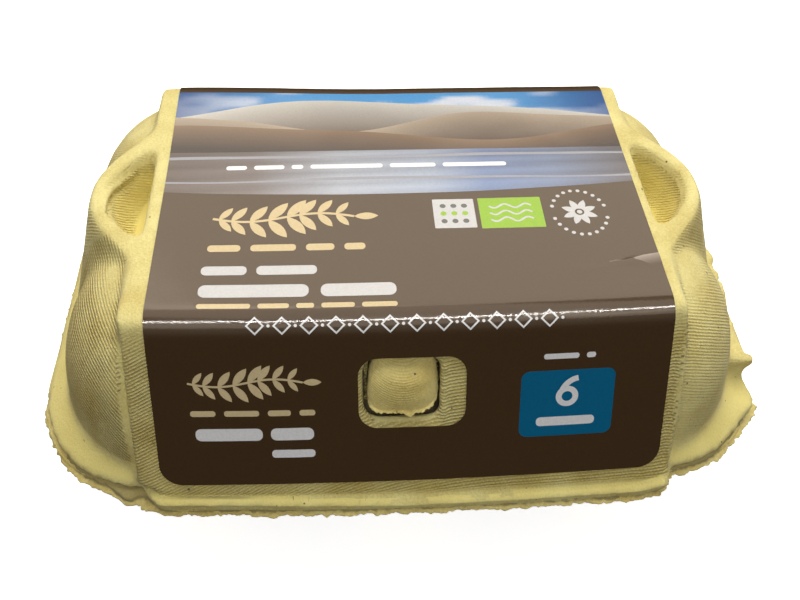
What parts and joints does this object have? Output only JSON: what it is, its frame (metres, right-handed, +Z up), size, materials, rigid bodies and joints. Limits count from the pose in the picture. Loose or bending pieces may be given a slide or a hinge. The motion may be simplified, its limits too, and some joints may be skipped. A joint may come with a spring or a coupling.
{
  "type": "egg carton",
  "caption": "Shut moulded-pulp egg carton: flat top, sloping panels, corner bulges, finger pockets at both ends, a latch knob and a wrap-around printed paper label.",
  "frame": {"origin": "floor under the feet, at the middle of the carton's plan", "axes": "+X along the carton's length to its right end, +Y towards the folded back, -Y towards the latch, +Z up"},
  "size_m": [0.1512, 0.1064, 0.0696],
  "materials": {
    "lid_pulp": "pale yellow moulded pulp, matt, with a fine screen imprint and dark fibres",
    "tray_pulp": "yellow moulded pulp, matt, rough and torn along its rim",
    "label_paper": "dark brown printed paper with a satin coating"
  },
  "bodies": {
    "root": {"lid": "lid_pulp", "tray": "tray_pulp", "label": "label_paper"}
  },
  "joints": []
}
